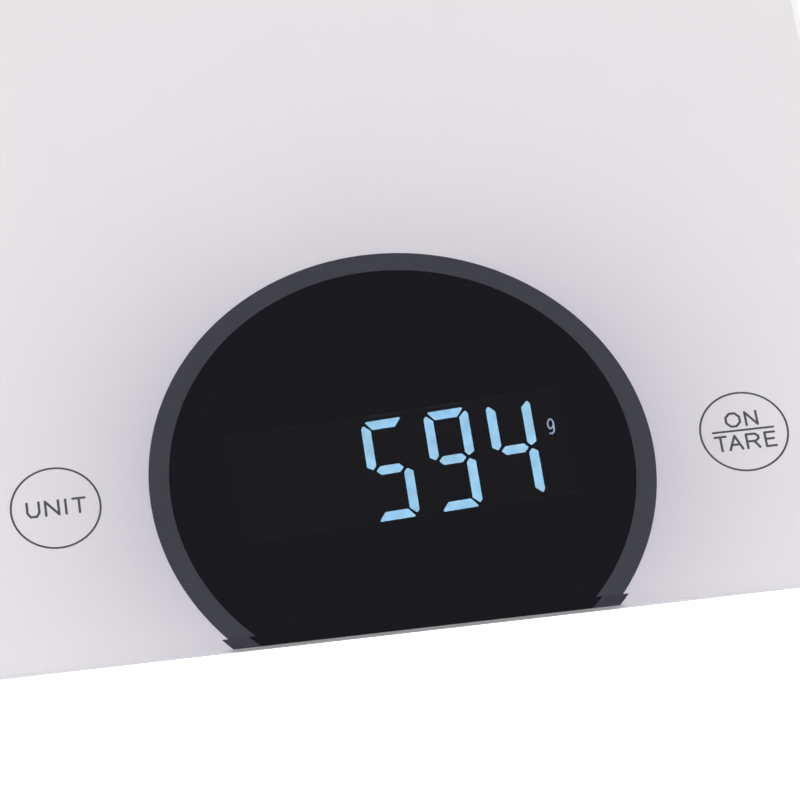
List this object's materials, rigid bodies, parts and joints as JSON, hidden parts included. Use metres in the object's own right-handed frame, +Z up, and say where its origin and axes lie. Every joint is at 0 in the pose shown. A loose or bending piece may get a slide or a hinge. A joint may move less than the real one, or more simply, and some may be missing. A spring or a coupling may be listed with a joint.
{
  "type": "kitchen scale",
  "caption": "Slim kitchen scale: white back-printed glass platform with bevelled edge, round-topped dark display window, lit digits and touch keys, thin tray on rubber feet.",
  "frame": {"origin": "centre of the footprint, at the bottom of the rubber feet", "axes": "+Z up, display edge toward -Y, +X to the right of someone reading the display"},
  "size_m": [0.18, 0.23, 0.0225],
  "materials": {
    "clear_glass": "polished",
    "white_enamel": "satin",
    "slate_enamel": "satin",
    "smoked_film": "gloss",
    "dark_ink": "satin",
    "foam": "matte",
    "white_foam_tape": "matte",
    "tray_plastic": "satin",
    "door_plastic": "satin",
    "board_laminate": "satin",
    "black_module": "matte",
    "lit_diffuser": "satin",
    "symbol_diffuser": "satin",
    "dark_diffuser": "matte",
    "zinc_steel": "satin",
    "spring_steel": "satin",
    "sensor_steel": "satin",
    "chip_epoxy": "matte",
    "tinned_lead": "satin",
    "capacitor_can": "satin",
    "ceramic": "satin",
    "solder": "satin",
    "cell_jacket": "satin",
    "gauge_sealant": "satin",
    "foot_plastic": "satin",
    "pad_rubber": "matte",
    "lead_insulation": "satin",
    "red_insulation": "satin",
    "black_insulation": "satin"
  },
  "bodies": {
    "scale": {"glass_platform": "clear_glass", "white_backprint": "white_enamel", "window_ring_print": "slate_enamel", "display_window_film": "smoked_film", "key_legends": "dark_ink", "adhesive_tape": "white_foam_tape", "base_shell": "tray_plastic", "main_circuit_board": "board_laminate", "circuit_board_screws": "zinc_steel", "digit_module_case": "black_module", "lit_segments": "lit_diffuser", "unlit_segments": "dark_diffuser", "gram_symbol": "symbol_diffuser", "display_foam_gasket": "foam", "controller_chip": "chip_epoxy", "amplifier_chip": "chip_epoxy", "chip_legs": "tinned_lead", "filter_capacitors": "capacitor_can", "small_resistors": "ceramic", "solder_joints": "solder", "touch_spring_unit": "spring_steel", "touch_spring_tare": "spring_steel", "battery_front": "cell_jacket", "battery_middle": "cell_jacket", "battery_rear": "cell_jacket", "contact_positive": "spring_steel", "contact_negative": "spring_steel", "contact_bridge_left": "spring_steel", "contact_bridge_right": "spring_steel", "load_cell_screws": "zinc_steel", "battery_lead_red": "red_insulation", "battery_lead_black": "black_insulation", "load_cell_front_left": "sensor_steel", "strain_gauge_front_left": "gauge_sealant", "foot_cup_front_left": "foot_plastic", "foot_pad_front_left": "pad_rubber", "foot_retainer_front_left": "zinc_steel", "load_cell_leads_front_left": "lead_insulation", "load_cell_front_right": "sensor_steel", "strain_gauge_front_right": "gauge_sealant", "foot_cup_front_right": "foot_plastic", "foot_pad_front_right": "pad_rubber", "foot_retainer_front_right": "zinc_steel", "load_cell_leads_front_right": "lead_insulation", "load_cell_rear_left": "sensor_steel", "strain_gauge_rear_left": "gauge_sealant", "foot_cup_rear_left": "foot_plastic", "foot_pad_rear_left": "pad_rubber", "foot_retainer_rear_left": "zinc_steel", "load_cell_leads_rear_left": "lead_insulation", "load_cell_rear_right": "sensor_steel", "strain_gauge_rear_right": "gauge_sealant", "foot_cup_rear_right": "foot_plastic", "foot_pad_rear_right": "pad_rubber", "foot_retainer_rear_right": "zinc_steel", "load_cell_leads_rear_right": "lead_insulation"},
    "battery_door": {"battery_door": "door_plastic", "battery_door_latch": "door_plastic"}
  },
  "joints": [
    {"name": "battery_door_hinge", "type": "hinge", "parent": "scale", "child": "battery_door", "pos_m": [0, 0.001, 0.0054], "axis": [1, 0, 0], "range_deg": [0, 75], "deforming": ["battery_door_latch"]}
  ]
}
